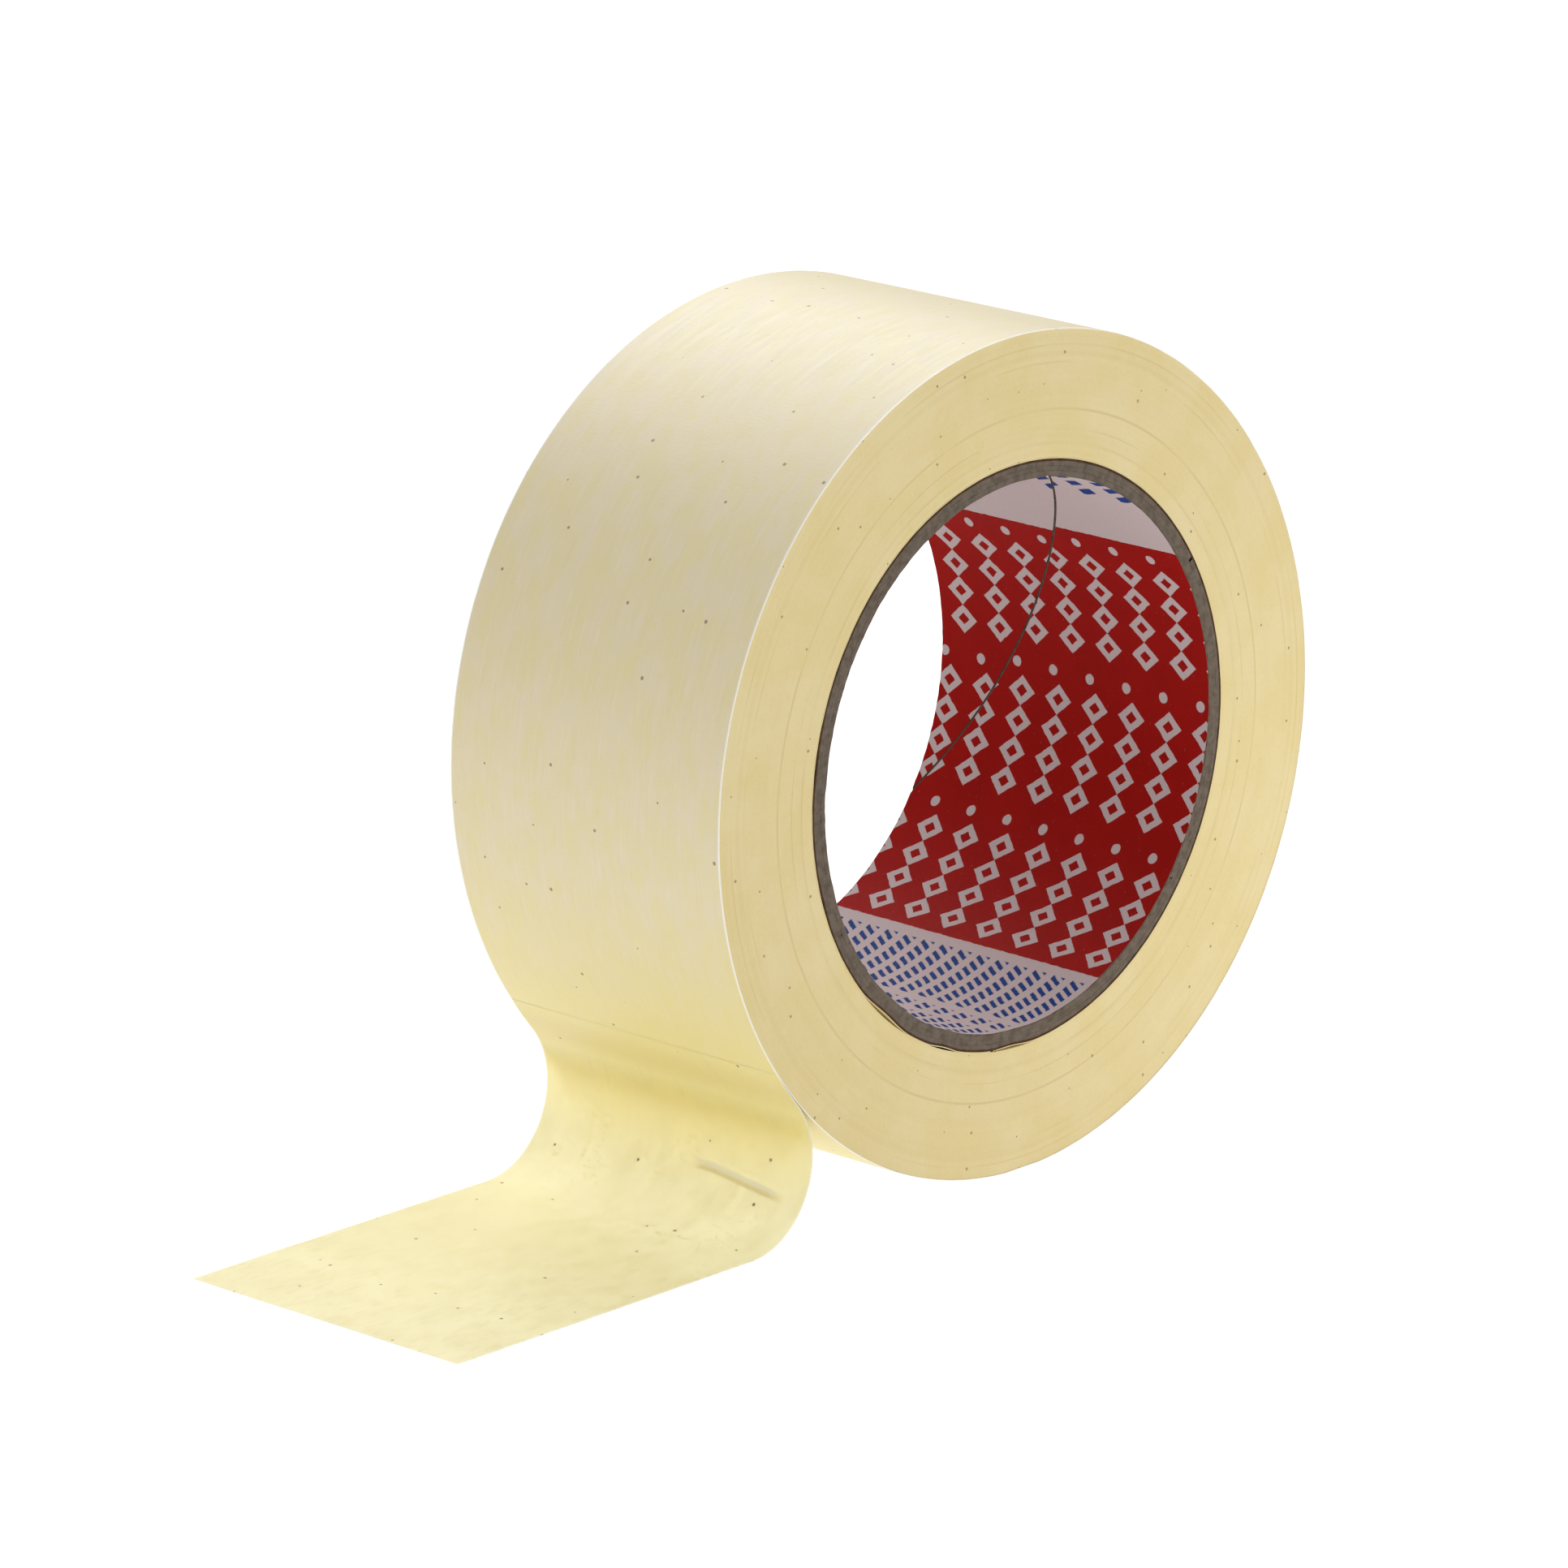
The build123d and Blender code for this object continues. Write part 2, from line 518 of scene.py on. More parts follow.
        dense = patches.ramp(*self.dense_patches) * self.dense_share
        dense = dense + ripples.ramp(*self.dense_ripples) * (fading * 0.6 + 0.1)
        dense = dense + along.between(*self.dense_length, 20.0) * self.dense_share
        dense = dense + from_crease.between(self.crease_shadow[0], self.crease_highlight[1], self.crease_edge) * creased
        through = along.ramp(*self.glow_from) * (self.glow - dense * self.glow_loss) * (1 - flecks)
        smoothest, roughest = self.roughness
        inputs = {
            "Base Color": tint,
            "Roughness": streaks.ramp(0.2, 0.8) * (roughest - smoothest) + smoothest,
            "Normal": graph.bump(wrinkles * 0.6 + streaks * 0.4, 0.5, 0.06 * MM),
            "IOR": 1.6,
            "Specular IOR Level": 0.95,
        }
        return graph.surface(inputs, through, self.glow_colour)


@dataclass(frozen=True)
class WoundEdge:
    """The side of the winding: the cut edges of all its turns, with the faint rings they leave."""

    straw: Colour = paint(229, 209, 150)
    shade: Colour = paint(196, 170, 112)
    cream_patches: Coat = Coat(paint(232, 214, 161), 0.35, 0.65)
    dark_turns: Coat = Coat(shade, 0.5, 0.85, 0.2)
    dark_bands: Coat = Coat(shade, 0.5, 0.75, 0.14)
    dark_grain: Coat = Coat(shade, 0.5, 0.9, 0.28)
    flecks: Specks = Specks(paint(128, 100, 60), 5.0, 0.32, 0.3, 0.7)
    grain: Grain = Grain(2.4, 3.0, 0.65)
    patches: Grain = Grain(0.11, 3.0, 0.6)
    turns: Grain = Grain(3.1, 3.0, 0.7)
    bands: Grain = Grain(0.55, 2.0, 0.5)
    breaks: Grain = Grain(0.06)
    pause_radius: float = 47.6  # where the winding was stopped and started again
    pause_half_width: float = 0.32
    pause_share: float = 0.42
    ring_radii: tuple[float, ...] = (43.0, 44.9, 54.0, 56.4)
    ring_half_width: float = 0.22
    ring_share: float = 0.3

    def material(self) -> bpy.types.Material:
        """Make the material."""
        graph = Graph("wound_edge")
        place = graph.body()
        x, _, z = graph.axes(place)
        centre_x = DRIFT / MM * math.cos(math.radians(DRIFT_ANGLE))
        centre_z = DRIFT / MM * math.sin(math.radians(DRIFT_ANGLE))
        radius = graph.math("SQRT", (x - centre_x) ** 2.0 + (z - centre_z) ** 2.0)
        grain, patches = graph.noise(place, self.grain), graph.noise(place, self.patches)
        turns = graph.noise(graph.join(radius, 0.0), self.turns)
        bands = graph.noise(graph.join(radius, 7.0), self.bands)
        flecks = graph.specks(graph.join(x, z), self.flecks)

        tint = graph.coat(self.straw, patches, self.cream_patches)
        tint = graph.coat(tint, turns, self.dark_turns)
        tint = graph.coat(tint, bands, self.dark_bands)
        tint = graph.coat(tint, grain, self.dark_grain)
        pause = abs(radius - self.pause_radius).ramp(self.pause_half_width, 0.0) * patches.ramp(0.25, 0.6)
        tint = graph.mix(pause * self.pause_share, tint, self.shade)
        for number, ring in enumerate(self.ring_radii):
            broken = graph.noise(graph.join(x, z, 10.0 * number), self.breaks).ramp(0.4, 0.65)
            line = abs(radius - ring).ramp(self.ring_half_width, 0.0)
            tint = graph.mix(line * broken * self.ring_share, tint, self.shade)
        inputs = {
            "Base Color": graph.mix(flecks, tint, self.flecks.colour),
            "Roughness": grain.ramp(0.2, 0.8) * 0.15 + 0.62,
            "Normal": graph.bump(turns * 0.6 + grain * 0.4, 0.4, 0.05 * MM),
            "IOR": 1.4,
        }
        return graph.surface(inputs)


@dataclass(frozen=True)
class Dashes:
    """Columns of short slanted dashes, in millimetres across the paper and down the print."""

    pitch: float
    sides: Span
    beat: float
    dash: Span
    dash_edge: float
    slant: float
    runs: tuple[Span, ...]
    run_edge: float

    def mask(self, down: Value, across: Value) -> Value:
        """Mark the dashes.

        Args:
            down: the distance below the print's top.
            across: the distance across the paper.

        Returns:
            1 on a dash and 0 between them.
        """
        aside = across % self.pitch - self.pitch / 2
        in_run = sum(down.between(*run, self.run_edge) for run in self.runs)
        in_beat = (down + aside * self.slant) % self.beat
        return in_run * abs(aside).ramp(*self.sides) * in_beat.between(*self.dash, self.dash_edge)


@dataclass(frozen=True)
class PrintedLiner:
    """The bore's paper, printed with a red band of pale marks and a white band of blue dashes.

    The print goes by the distance round the bore, in millimetres, and repeats twice in a turn.
    """

    # partly painted shade: the paper's white and the red ink are their own colours made darker, for the
    # shade inside the bore
    white: Colour = paint(200, 187, 186)
    red: Colour = paint(160, 20, 14)
    blue: Colour = paint(30, 62, 128)
    grey_fibres: Coat = Coat(paint(178, 164, 160), 0.45, 0.8, 0.25)
    dark_ink: Coat = Coat(paint(140, 16, 12), 0.35, 0.7, 0.35)
    worn_ink: Coat = Coat(white, 0.62, 0.8, 0.22)
    fibres: Grain = Grain(1.4, 4.0, 0.65, (0.9, 1.6, 1.0))
    patches: Grain = Grain(0.12, 3.0, 0.6)
    wander: Grain = Grain(0.9)
    wander_depth: float = 0.35
    repeat: float = 120.0
    band_top: float = 23.4
    band_depth: float = 66.9
    first_row: float = 1.3
    row_pitch: float = 22.1
    row_drift: float = 2.5
    first_column: float = -20.33
    column_pitch: float = 6.83
    chain_start: float = 3.0
    link_pitch: float = 4.3
    link_count: int = 4
    link_half: Span = (2.15, 2.45)
    link_wall: Span = (0.42, 1.0)
    dot_place: float = 1.2
    dot_edge: Span = (0.85, 0.7)
    ink_edge: float = 0.14
    small: Dashes = Dashes(
        pitch=3.5,
        sides=(1.15, 1.0),
        beat=1.5,
        dash=(0.3, 1.1),
        dash_edge=0.25,
        slant=0.6,
        runs=((68.7, 82.0), (83.8, 86.6), (88.2, 96.5)),
        run_edge=0.2,
    )
    large: Dashes = Dashes(
        pitch=column_pitch,
        sides=(1.7, 1.5),
        beat=3.2,
        dash=(0.4, 2.2),
        dash_edge=0.3,
        slant=-0.5,
        runs=((99.0, 108.2),),
        run_edge=0.3,
    )

    def links(self, graph: Graph, down: Value, across: Value) -> Value:
        """Mark the red band's chains of open links, with a dot at the head of each.

        Args:
            graph: the material's graph.
            down: the distance below the band's top.
            across: the distance across the paper.

        Returns:
            1 on a mark and 0 between them.
        """
        row = (down - self.first_row) / self.row_pitch
        in_row = (down - self.first_row) % self.row_pitch
        shifted = across - row.whole() * self.row_drift - self.first_column + self.column_pitch / 2
        aside = shifted % self.column_pitch - self.column_pitch / 2
        along = in_row - self.chain_start
        chain = along.between(0.0, self.link_pitch * self.link_count, self.ink_edge)
        in_link = (along % self.link_pitch) - self.link_pitch / 2
        lozenge = abs(in_link) / self.link_half[0] + abs(aside) / self.link_half[1]
        link = lozenge.between(*self.link_wall, self.ink_edge / 2)
        from_dot = graph.math("SQRT", (in_row - self.dot_place) ** 2.0 + (aside - self.dot_place) ** 2.0)
        return graph.math("MAXIMUM", chain * link, from_dot.ramp(*self.dot_edge))

    def material(self) -> bpy.types.Material:
        """Make the material."""
        graph = Graph("printed_liner")
        place = graph.pattern()
        round_bore, across, _ = graph.axes(place)
        fibres, patches = graph.noise(place, self.fibres), graph.noise(place, self.patches)
        wander = (graph.noise(place, self.wander) - 0.5) * self.wander_depth
        down = (self.band_top - round_bore + wander) % self.repeat
        paper = graph.coat(self.white, fibres, self.grey_fibres)
        ink = graph.coat(self.red, patches, self.dark_ink)
        ink = graph.coat(ink, fibres, self.worn_ink)
        links = self.links(graph, down, across) * (1 - fibres.ramp(0.7, 0.85) * 0.4)
        dashes = graph.math("MAXIMUM", self.small.mask(down, across), self.large.mask(down, across))
        dashes = dashes * (1 - fibres.ramp(0.6, 0.8) * 0.45)
        red_band, white_band = graph.mix(links, ink, paper), graph.mix(dashes, paper, self.blue)
        band = down.between(0.0, self.band_depth, self.ink_edge)
        inputs = {
            "Base Color": graph.mix(band, white_band, red_band),
            "Roughness": fibres.ramp(0.3, 0.7) * 0.14 + 0.55,
            "Normal": graph.bump(fibres, 0.35, 0.04 * MM),
            "IOR": 1.45,
            "Specular IOR Level": 0.05,
        }
        return graph.surface(inputs)


@dataclass(frozen=True)
class Board:
    """Rolled paperboard: a base tint with darker fibres, pale fibres and a rough surface."""

    name: str
    base: Colour
    dark: Colour
    light: Colour
    fibres: Grain = Grain(3.2, 4.0, 0.7)
    clumps: Grain = Grain(0.8, 3.0, 0.6)

    def material(self) -> bpy.types.Material:
        """Make the material."""
        graph = Graph(self.name)
        place = graph.body()
        fibres, clumps = graph.noise(place, self.fibres), graph.noise(place, self.clumps)
        tint = graph.coat(self.base, clumps, Coat(self.dark, 0.35, 0.7))
        tint = graph.coat(tint, fibres, Coat(self.light, 0.5, 0.75, 0.6))
        tint = graph.coat(tint, fibres, Coat(self.dark, 0.45, 0.25, 0.6))
        inputs = {
            "Base Color": tint,
            "Roughness": clumps.ramp(0.2, 0.8) * 0.1 + 0.85,
            "Normal": graph.bump(fibres, 0.8, 0.12 * MM),
            "IOR": 1.35,
        }
        return graph.surface(inputs)


@dataclass(frozen=True)
class AdhesiveFilm:
    """Rubber adhesive: a thin glossy film, nearly clear, with the paper's wrinkles in it."""

    resin: Colour = paint(226, 205, 138)
    thick: Coat = Coat(paint(206, 180, 104), 0.35, 0.7)
    wrinkles: Grain = Grain(1.0, 3.0, 0.55, (2.6, 0.5, 1.0))
    pools: Grain = Grain(0.4, 3.0, 0.6)
    cover: float = 0.08

    def material(self) -> bpy.types.Material:
        """Make the material."""
        graph = Graph("adhesive")
        place = graph.pattern()
        wrinkles, pools = graph.noise(place, self.wrinkles), graph.noise(place, self.pools)
        inputs = {
            "Base Color": graph.coat(self.resin, pools, self.thick),
            "Roughness": pools.ramp(0.3, 0.7) * 0.12 + 0.22,
            "Normal": graph.bump(wrinkles * 0.7 + pools * 0.3, 0.4, 0.05 * MM),
            "Alpha": self.cover,
            "IOR": 1.5,
        }
        return graph.surface(inputs)


@dataclass(frozen=True)
class PaleFloor:
    """The studio's floor, which also gives off light, so that shadows stay faint."""

    grey: Colour = (0.25, 0.25, 0.25, 1.0)
    patches: Coat = Coat((0.26, 0.26, 0.26, 1.0), 0.3, 0.7)
    grain: Grain = Grain(0.02)
    light: Colour = (1.0, 1.0, 1.0, 1.0)
    glow: float = 0.97

    def material(self) -> bpy.types.Material:
        """Make the material."""
        graph = Graph("studio_floor")
        grain = graph.noise(graph.body(), self.grain)
        inputs = {
            "Base Color": graph.coat(self.grey, grain, self.patches),
            "Roughness": 0.9,
            "Specular IOR Level": 0.0,
            "Emission Color": self.light,
            "Emission Strength": self.glow,
        }
        return graph.surface(inputs)


# ---- Bench work ----


@dataclass(frozen=True)
class Lumps:
    """Smooth noise for shaping a mesh: how tall its lumps are, and how large, in metres."""

    height: float
    size: float
    seed: float = 0.0

    def at(self, places: np.ndarray) -> np.ndarray:
        """Give the height at many places.

        Args:
            places: rows of coordinates, in metres.

        Returns:
            One height for each row, between minus and plus the height.
        """
        shifted = np.zeros((len(places), 3))
        shifted[:, : places.shape[1]] = places / self.size + self.seed
        return self.height * np.array([noise.noise(Vector(row)) for row in shifted])


EDGE_WAVER = Lumps(0.04 * MM, 6.0 * MM, 1.0)  # how far the slit edges of the tape stray


def select(piece: bpy.types.Object | None = None) -> None:
    """Deselect everything, then select one piece and make it active.

    Args:
        piece: the piece, or nothing to leave everything deselected.
    """
    bpy.ops.object.select_all(action="DESELECT")
    if piece is not None:
        piece.select_set(True)
        bpy.context.view_layer.objects.active = piece


def edit(piece: bpy.types.Object) -> None:
    """Select one piece alone and enter edit mode with all of it selected."""
    select(piece)
    bpy.ops.object.mode_set(mode="EDIT")
    bpy.ops.mesh.select_all(action="SELECT")


def new_piece(name: str) -> bpy.types.Object:
    """Name the primitive that was just added, and its mesh."""
    piece = bpy.context.object
    piece.name = piece.data.name = name
    return piece


def reshape(piece: bpy.types.Object, place: Placer) -> None:
    """Move every vertex of a piece.

    Args:
        piece: the mesh object.
        place: gives the new places from the old ones, both as rows of x, y and z.
    """
    mesh = piece.data
    old = np.empty(len(mesh.vertices) * 3)
    mesh.vertices.foreach_get("co", old)
    mesh.vertices.foreach_set("co", place(old.reshape(-1, 3)).ravel())
    mesh.update()


def lay_pattern(piece: bpy.types.Object, spread: Placer) -> None:
    """Give a piece its pattern coordinates.

    Args:
        piece: the mesh object, still in its flat form.
        spread: gives each vertex's two pattern coordinates, in metres, from its place.
    """
    mesh = piece.data
    places = np.empty(len(mesh.vertices) * 3)
    mesh.vertices.foreach_get("co", places)
    corners = np.empty(len(mesh.loops), dtype=np.int32)
    mesh.loops.foreach_get("vertex_index", corners)
    layer = mesh.uv_layers.new(name=PATTERN)
    layer.data.foreach_set("uv", (spread(places.reshape(-1, 3))[corners] / MM).ravel())


def cut_strip(name: str, start: float, end: float, width: float, steps: Steps) -> bpy.types.Object:
    """Cut a flat strip in the XY plane.

    Args:
        name: the piece's name.
        start: the x of one end.
        end: the x of the other end, greater than start.
        width: its width, centred on y 0.
        steps: how many faces it has along and across.

    Returns:
        The strip, one layer thick.
    """
    select()
    along, across = steps
    bpy.ops.mesh.primitive_grid_add(x_subdivisions=along, y_subdivisions=across, size=1.0, calc_uvs=False)
    piece = new_piece(name)
    size = np.array([end - start, width, 1.0])
    reshape(piece, lambda flat: flat * size + np.array([(start + end) / 2, 0.0, 0.0]))
    return piece


def thicken(piece: bpy.types.Object, thickness: float, rim_material: int = 0) -> None:
    """Give a one-layer piece its thickness, on the side away from its normals.

    Args:
        piece: the mesh object.
        thickness: how thick it becomes, in metres.
        rim_material: how many slots on the cut edges' material is.
    """
    solidify = piece.modifiers.new("thickness", "SOLIDIFY")
    solidify.thickness = thickness
    solidify.offset = -1.0
    solidify.material_offset_rim = rim_material
    select(piece)
    bpy.ops.object.modifier_apply(modifier=solidify.name)


def weld(piece: bpy.types.Object) -> None:
    """Merge a piece's vertices where they meet, and turn its faces outwards."""
    edit(piece)
    bpy.ops.mesh.remove_doubles(threshold=WELD)
    bpy.ops.mesh.normals_make_consistent(inside=False)
    bpy.ops.object.mode_set(mode="OBJECT")


def smooth(piece: bpy.types.Object, angle: float = 35.0) -> None:
    """Shade a piece smooth, with edges sharper than an angle in degrees kept crisp."""
    select(piece)
    bpy.ops.object.shade_smooth_by_angle(angle=math.radians(angle))


def rise(values: np.ndarray, start: float, full: float) -> np.ndarray:
    """Rise evenly from 0 to 1 as values go from one limit to the other."""
    return np.clip((values - start) / (full - start), 0.0, 1.0)


def pull_in(flat: np.ndarray, half_width: float, inset: np.ndarray) -> np.ndarray:
    """Pull in the long edges of a strip.

    Args:
        flat: the strip's places.
        half_width: half of its width.
        inset: how far each place moves in if it is on an edge.

    Returns:
        The y of each place.
    """
    on_edge = np.abs(flat[:, 1]) > half_width - EDGE
    return flat[:, 1] * (1 - np.where(on_edge, inset, 0.0) / half_width)


def polar(angles: np.ndarray, radii: float | np.ndarray, y: np.ndarray) -> np.ndarray:
    """Give places from their angles round the bore in degrees, radii and y."""
    turned = np.radians(angles)
    return np.column_stack([radii * np.cos(turned), y, radii * np.sin(turned)])


def dress(piece: bpy.types.Object, slot: Slot, *materials: bpy.types.Material) -> None:
    """Give a piece its materials.

    Args:
        piece: the mesh object.
        slot: the slot. It is not used.
        materials: its own material, then that of its cut edges if that is another.
    """
    for material in materials:
        piece.data.materials.append(material)


def report(piece: bpy.types.Object) -> None:
    """Log what a finished piece holds."""
    mesh = piece.data
    log.info("%s: %d vertices, %d faces", piece.name, len(mesh.vertices), len(mesh.polygons))


def fit_to_roll(piece: bpy.types.Object, node: str, crisp: float = 35.0) -> None:
    """Smooth a piece of the roll, hide its CAD node and let it ride on the roll.

    Args:
        piece: the piece, dressed and in its place.
        node: the CAD node.
        crisp: edges sharper than this angle stay crisp, in degrees.
    """
    smooth(piece, crisp)
    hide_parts(node)
    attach(piece, Body.ROLL.value)
    report(piece)


# ---- The core ----


@dataclass(frozen=True)
class Dent:
    """A place where the front end of the core is pushed in."""

    angle: float
    half_span: float
    depth: float
    reach: float = 5.0 * MM
    pulls_tape: bool = True

    def at(self, angles: np.ndarray, inset: np.ndarray) -> np.ndarray:
        """Give how far the wall is pushed in.

        Args:
            angles: angles round the bore, in degrees.
            inset: distances back from the front face, in metres.

        Returns:
            The depth at each, in metres.
        """
        away = (angles - self.angle + HALF_TURN) % FULL_TURN - HALF_TURN
        share = np.clip(np.abs(away) / self.half_span, 0.0, 1.0)
        return self.depth * np.cos(share * math.pi / 2) ** 2 * np.exp(-((inset / self.reach) ** 2))


DENTS = (
    Dent(228.0, 9.0, 0.42 * MM),
    Dent(247.5, 5.0, 0.26 * MM),
    Dent(267.0, 7.0, 0.34 * MM),
    Dent(170.0, 10.0, 0.2 * MM, pulls_tape=False),
    Dent(197.0, 7.0, 0.12 * MM, pulls_tape=False),
)


@dataclass(frozen=True)
class Ply:
    """One ply of the core: its thickness, its butt seam, and how much of a dent it takes."""

    node: str
    slot: Slot
    thickness: float
    front_angle: float
    dent_share: float
    fray: float
    seam_width: float = 0.6 * MM
    steps: Steps = (240, 50)


@dataclass
class Core:
    """The spiral-wound core: a printed liner, three boards and a kraft wrap."""

    half_width: float
    seam_pitch: float = 150.0 * MM
    wobble: Lumps = Lumps(0.05 * MM, 9.0 * MM, 11.0)  # how far the whole wall strays from round
    wobble_radius: float = 39.4 * MM
    fray_size: float = 1.1 * MM
    tear: Lumps = Lumps(0.6, 3.7 * MM, 5.0)
    liner_drift: float = 1.0 * MM  # how far the print's two ends miss each other at the seam
    liner_flare: float = 9.3
    liner_flare_reach: float = 5.0 * MM
    liner_twist: float = 0.1 / MM
    plies: tuple[Ply, ...] = (
        Ply("core_liner", Slot.PRINTED_LINER, 0.15 * MM, 90.9, 0.35, 0.16 * MM, 0.7 * MM, (400, 60)),
        Ply("core_board_inner", Slot.CORE_BOARD, 0.65 * MM, 322.0, 0.5, 0.1 * MM),
        Ply("core_board_middle", Slot.CORE_BOARD, 0.65 * MM, 206.0, 0.75, 0.12 * MM),
        Ply("core_board_outer", Slot.CORE_BOARD, 0.65 * MM, 31.0, 1.0, 0.1 * MM),
        Ply("core_wrap", Slot.KRAFT_WRAP, 0.27 * MM, 150.0, 1.0, 0.08 * MM),
    )
    board: Board = Board("core_board", paint(114, 101, 88), paint(94, 81, 68), paint(136, 124, 111))
    kraft: Board = Board("kraft_wrap", paint(82, 54, 30), paint(58, 38, 20), paint(110, 80, 50))
    liner: PrintedLiner = PrintedLiner()

    def seam_angles(self, ply: Ply, y: np.ndarray) -> np.ndarray:
        """Follow a ply's butt seam.

        Args:
            ply: the ply.
            y: places along the bore.

        Returns:
            The seam's angle at each.
        """
        inset = y + self.half_width
        angles = ply.front_angle - FULL_TURN * inset / self.seam_pitch
        if ply.slot is Slot.PRINTED_LINER:
            angles -= self.liner_flare * np.exp(-inset / self.liner_flare_reach) + self.liner_twist * inset
        return angles

    def wind(self, ply: Ply) -> bpy.types.Object:
        """Make one ply.

        Args:
            ply: what it is made to.

        Returns:
            The ply, wound but still one layer thick.
        """
        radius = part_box(ply.node)[1].x
        gap = math.degrees(ply.seam_width / radius)
        piece = cut_strip(f"{ply.node}_ply", 0.0, 1.0, 2 * self.half_width, ply.steps)

        def angles(flat: np.ndarray) -> np.ndarray:
            """Give each vertex's angle round the bore."""
            return self.seam_angles(ply, flat[:, 1]) - gap / 2 - flat[:, 0] * (FULL_TURN - gap)

        def spread(flat: np.ndarray) -> np.ndarray:
            """Lay the print out by distance round the bore."""
            round_bore = np.radians(angles(flat)) * (radius - ply.thickness)
            return np.column_stack([round_bore + self.liner_drift * flat[:, 0], flat[:, 1]])

        def wrap(flat: np.ndarray) -> np.ndarray:
            """Wind the strip, with its dents and its frayed ends."""
            turned = angles(flat)
            around = polar(turned, self.wobble_radius, flat[:, 1])
            dent = sum(d.at(turned, flat[:, 1] + self.half_width) for d in DENTS) * ply.dent_share
            ragged = Lumps(1.0, self.fray_size, radius / MM).at(around) + self.tear.at(around)
            inset = ply.fray * (0.5 - 0.5 * np.clip(ragged, -1.0, 1.0))
            stray = np.abs(self.wobble.at(around))
            return polar(turned, radius - dent - stray, pull_in(flat, self.half_width, inset))

        lay_pattern(piece, spread)
        reshape(piece, wrap)
        return piece

    def build(self) -> None:
        """Make and dress the plies, from the bore outwards."""
        board, kraft = self.board.material(), self.kraft.material()
        faces = {Slot.PRINTED_LINER: self.liner.material(), Slot.CORE_BOARD: board, Slot.KRAFT_WRAP: kraft}
        for ply in self.plies:
            piece = self.wind(ply)
            rim = board if ply.slot is Slot.PRINTED_LINER else faces[ply.slot]
            dress(piece, ply.slot, faces[ply.slot], rim)
            thicken(piece, ply.thickness, rim_material=1)
            fit_to_roll(piece, ply.node)


# ---- The winding ----


